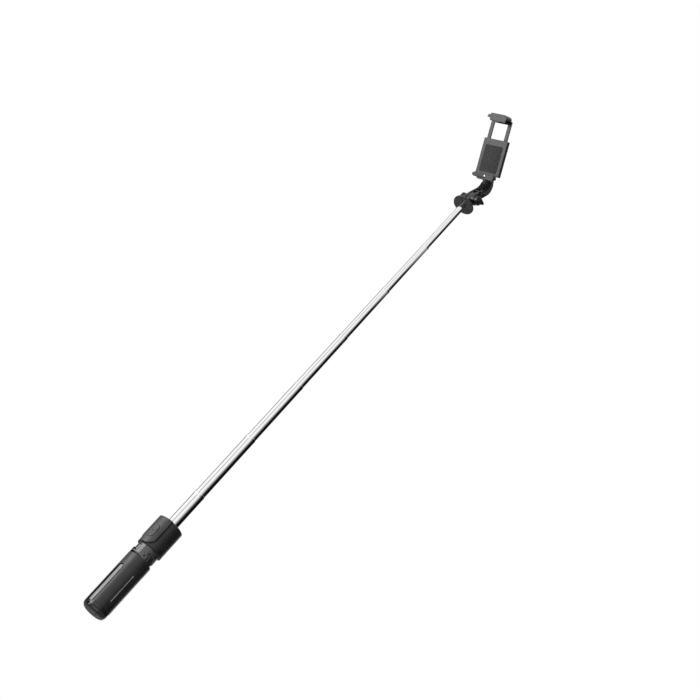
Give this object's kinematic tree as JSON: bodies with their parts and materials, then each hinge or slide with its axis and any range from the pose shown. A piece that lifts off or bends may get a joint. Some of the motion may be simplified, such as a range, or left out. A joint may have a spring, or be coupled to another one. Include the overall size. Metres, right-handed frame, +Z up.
{
  "type": "selfie stick",
  "caption": "Telescopic chrome pole with a folding-leg handle, a docked wireless remote and a tilting, turning spring clamp for a phone.",
  "frame": {"origin": "centre of the closed handle's end face, on the pole's axis", "axes": "+Z up the pole towards the phone clamp; -Y front, the side of the remote and the phone's screen; +X the thumb knob's side"},
  "size_m": [0.0344, 0.0816, 0.7745],
  "materials": {
    "board_green": "green circuit board",
    "bush_black": "acetal plastic",
    "button_grey": "dark grey plastic button",
    "cap_black": "matte black moulded plastic",
    "cell_steel": "stainless cell case",
    "collar_black": "satin black moulded plastic",
    "core_aluminium": "drawn satin aluminium",
    "foot_black": "matte black moulded plastic",
    "hardware_steel": "plain steel",
    "head_black": "satin black moulded plastic",
    "hub_gloss_black": "glossy black moulded plastic",
    "leg_black": "fine-textured black moulded plastic",
    "pad_rubber": "soft matte rubber",
    "plate_grey": "grey matte plastic plate",
    "pole_chrome": "bright polished chrome plating on thin steel tube",
    "remote_grey": "dark grey soft-touch plastic",
    "shim_brass": "thin sprung brass",
    "strip_grey": "light grey satin inlay"
  },
  "bodies": {
    "handle": {"collar_front": "collar_black", "collar_rear": "collar_black", "collar_screws": "hardware_steel", "core_tube": "core_aluminium", "guide_bush": "bush_black", "core_plug": "bush_black", "hinge_hub": "hub_gloss_black", "hinge_pins": "hardware_steel", "hinge_friction_bushes": "bush_black"},
    "leg_1": {"leg_1_shell": "leg_black", "leg_1_foot": "foot_black", "leg_1_grip_strip": "strip_grey"},
    "leg_2": {"leg_2_shell": "leg_black", "leg_2_foot": "foot_black", "leg_2_side_line": "strip_grey"},
    "leg_3": {"leg_3_shell": "leg_black", "leg_3_foot": "foot_black"},
    "remote": {"remote_front_cover": "remote_grey", "remote_back_cover": "remote_grey", "remote_board": "board_green", "remote_switch": "foot_black", "remote_coin_cell": "cell_steel", "remote_battery_contact": "hardware_steel"},
    "button": {"remote_button": "button_grey"},
    "tube_1": {"tube_1": "pole_chrome", "shim_1": "shim_brass"},
    "tube_2": {"tube_2": "pole_chrome", "shim_2": "shim_brass"},
    "tube_3": {"tube_3": "pole_chrome", "shim_3": "shim_brass"},
    "tube_4": {"tube_4": "pole_chrome", "shim_4": "shim_brass"},
    "tube_5": {"tube_5": "pole_chrome", "shim_5": "shim_brass"},
    "tube_6": {"tube_6": "pole_chrome", "shim_6": "shim_brass"},
    "tube_7": {"tube_7": "pole_chrome", "shim_7": "shim_brass"},
    "head": {"pole_cap": "cap_black", "hinge_bolt": "hardware_steel"},
    "knob": {"thumb_knob": "head_black", "knob_insert": "shim_brass", "knob_washer": "bush_black"},
    "arm": {"arm": "head_black"},
    "clamp": {"clamp_body": "head_black", "clamp_cover": "head_black", "cover_screws": "hardware_steel", "swivel_rivet": "hardware_steel", "swivel_washer": "bush_black", "lower_pad": "pad_rubber", "back_pad": "pad_rubber", "jaw_plate": "plate_grey", "jaw_plate_pin": "hardware_steel", "jaw_springs": "hardware_steel"},
    "upper_jaw": {"upper_jaw": "head_black", "upper_pad": "pad_rubber"}
  },
  "joints": [
    {"name": "leg_1_fold", "type": "hinge", "parent": "handle", "child": "leg_1", "pos_m": [0, -0.0092, 0.071], "axis": [-1, 0, 0], "range_deg": [0, 65]},
    {"name": "leg_2_fold", "type": "hinge", "parent": "handle", "child": "leg_2", "pos_m": [0.00797, 0.0046, 0.071], "axis": [0.5, -0.866, 0], "range_deg": [0, 65]},
    {"name": "leg_3_fold", "type": "hinge", "parent": "handle", "child": "leg_3", "pos_m": [-0.00797, 0.0046, 0.071], "axis": [0.5, 0.866, 0], "range_deg": [0, 65]},
    {"name": "remote_release", "type": "slide", "parent": "handle", "child": "remote", "axis": [0, 0, 1], "range_m": [0, 0.034]},
    {"name": "button_press", "type": "slide", "parent": "remote", "child": "button", "axis": [0, 1, 0], "range_m": [0, 0.0004], "stiffness_N_per_m": 800},
    {"name": "section_1_slide", "type": "slide", "parent": "handle", "child": "tube_1", "axis": [0, 0, 1], "range_m": [-0.0445, 0.0395]},
    {"name": "section_2_slide", "type": "slide", "parent": "tube_1", "child": "tube_2", "axis": [0, 0, 1], "range_m": [-0.084, 0]},
    {"name": "section_3_slide", "type": "slide", "parent": "tube_2", "child": "tube_3", "axis": [0, 0, 1], "range_m": [-0.084, 0]},
    {"name": "section_4_slide", "type": "slide", "parent": "tube_3", "child": "tube_4", "axis": [0, 0, 1], "range_m": [-0.084, 0]},
    {"name": "section_5_slide", "type": "slide", "parent": "tube_4", "child": "tube_5", "axis": [0, 0, 1], "range_m": [-0.084, 0]},
    {"name": "section_6_slide", "type": "slide", "parent": "tube_5", "child": "tube_6", "axis": [0, 0, 1], "range_m": [-0.084, 0]},
    {"name": "section_7_slide", "type": "slide", "parent": "tube_6", "child": "tube_7", "axis": [0, 0, 1], "range_m": [-0.0827, 0]},
    {"name": "head_swivel", "type": "hinge", "parent": "tube_7", "child": "head", "pos_m": [0, 0, 0.662], "axis": [0, 0, 1], "continuous": true},
    {"name": "arm_tilt", "type": "hinge", "parent": "head", "child": "arm", "pos_m": [0, 0, 0.6763], "axis": [1, 0, 0], "range_deg": [-90, 45]},
    {"name": "knob_turn", "type": "hinge", "parent": "head", "child": "knob", "pos_m": [0.0125, 0, 0.6763], "axis": [1, 0, 0], "continuous": true},
    {"name": "clamp_turn", "type": "hinge", "parent": "arm", "child": "clamp", "pos_m": [0, -0.01725, 0.73824], "axis": [0, 0.7071, 0.7071], "range_deg": [-110, 110]},
    {"name": "jaw_slide", "type": "slide", "parent": "clamp", "child": "upper_jaw", "axis": [0, -0.7071, 0.7071], "range_m": [-0.014, 0.016], "deforming": ["jaw_springs"]}
  ]
}
